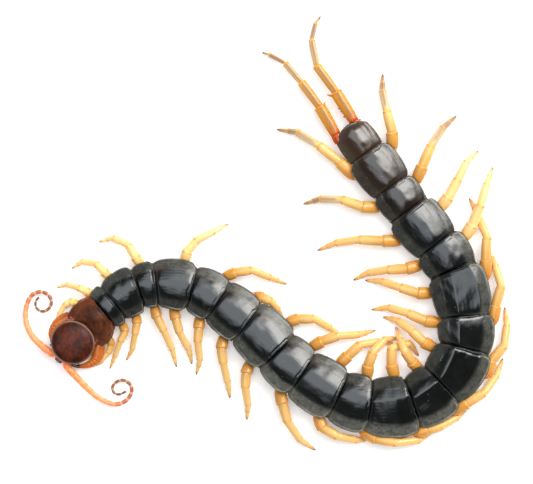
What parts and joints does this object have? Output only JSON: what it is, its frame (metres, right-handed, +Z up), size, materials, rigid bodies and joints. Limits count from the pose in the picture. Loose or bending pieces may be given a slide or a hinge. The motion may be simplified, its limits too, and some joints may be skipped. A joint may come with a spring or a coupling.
{
  "type": "giant centipede model",
  "caption": "Life-size still model of a giant centipede lying in an S: glossy blue-black back, red-brown head, coiled antennae, amber walking legs and a trailing last pair.",
  "frame": {"origin": "middle of the plan of the whole animal, on the floor that it lies on", "axes": "+X across the S, from the head's end towards its outer bend, +Y from the bend towards the last legs, +Z up out of the back"},
  "size_m": [0.1278, 0.1136, 0.0084],
  "materials": {
    "head": "glossy deep red-brown cuticle with a thinner grey-brown rim",
    "collar": "glossy red-brown cuticle with a purplish sheen",
    "trunk": "glossy blue-black cuticle, with a pale line along the rear edge of each plate",
    "tail": "glossy black-brown cuticle, browner than the trunk",
    "forcipule": "glossy orange cuticle, redder towards the root",
    "antenna": "satin cuticle, salmon-orange at the root and brown towards the tip, with paler rings",
    "leg": "thin translucent amber cuticle, more orange at the joints",
    "last_leg": "orange-brown cuticle, tan and translucent towards the end",
    "claw": "hard dark brown claws",
    "fang": "hard glossy black points of the forcipules",
    "ocellus": "small glossy black simple eyes",
    "membrane": "soft wrinkled dark skin between the plates",
    "underside": "satin yellow-brown plates of the belly",
    "spine": "small dark spines"
  },
  "bodies": {
    "root": {"head": "head", "segment_01": "collar", "segment_02_03": "trunk", "segment_04_05": "trunk", "segment_06_07": "trunk", "segment_08_09": "trunk", "segment_10_11": "trunk", "segment_12_13": "trunk", "segment_14_15": "trunk", "segment_16_17": "trunk", "segment_18_19": "trunk", "segment_20": "tail", "segment_21": "tail", "antenna_left": "antenna", "forcipule_left": "forcipule", "leg_left_01": "leg", "leg_left_02": "leg", "leg_left_03": "leg", "leg_left_04": "leg", "leg_left_05": "leg", "leg_left_06": "leg", "leg_left_07": "leg", "leg_left_08": "leg", "leg_left_09": "leg", "leg_left_10": "leg", "leg_left_11": "leg", "leg_left_12": "leg", "leg_left_13": "leg", "leg_left_14": "leg", "leg_left_15": "leg", "leg_left_16": "leg", "leg_left_17": "leg", "leg_left_18": "leg", "leg_left_19": "leg", "leg_left_20": "leg", "leg_left_21": "last_leg", "antenna_right": "antenna", "forcipule_right": "forcipule", "leg_right_01": "leg", "leg_right_02": "leg", "leg_right_03": "leg", "leg_right_04": "leg", "leg_right_05": "leg", "leg_right_06": "leg", "leg_right_07": "leg", "leg_right_08": "leg", "leg_right_09": "leg", "leg_right_10": "leg", "leg_right_11": "leg", "leg_right_12": "leg", "leg_right_13": "leg", "leg_right_14": "leg", "leg_right_15": "leg", "leg_right_16": "leg", "leg_right_17": "leg", "leg_right_18": "leg", "leg_right_19": "leg", "leg_right_20": "leg", "leg_right_21": "last_leg"}
  },
  "joints": []
}
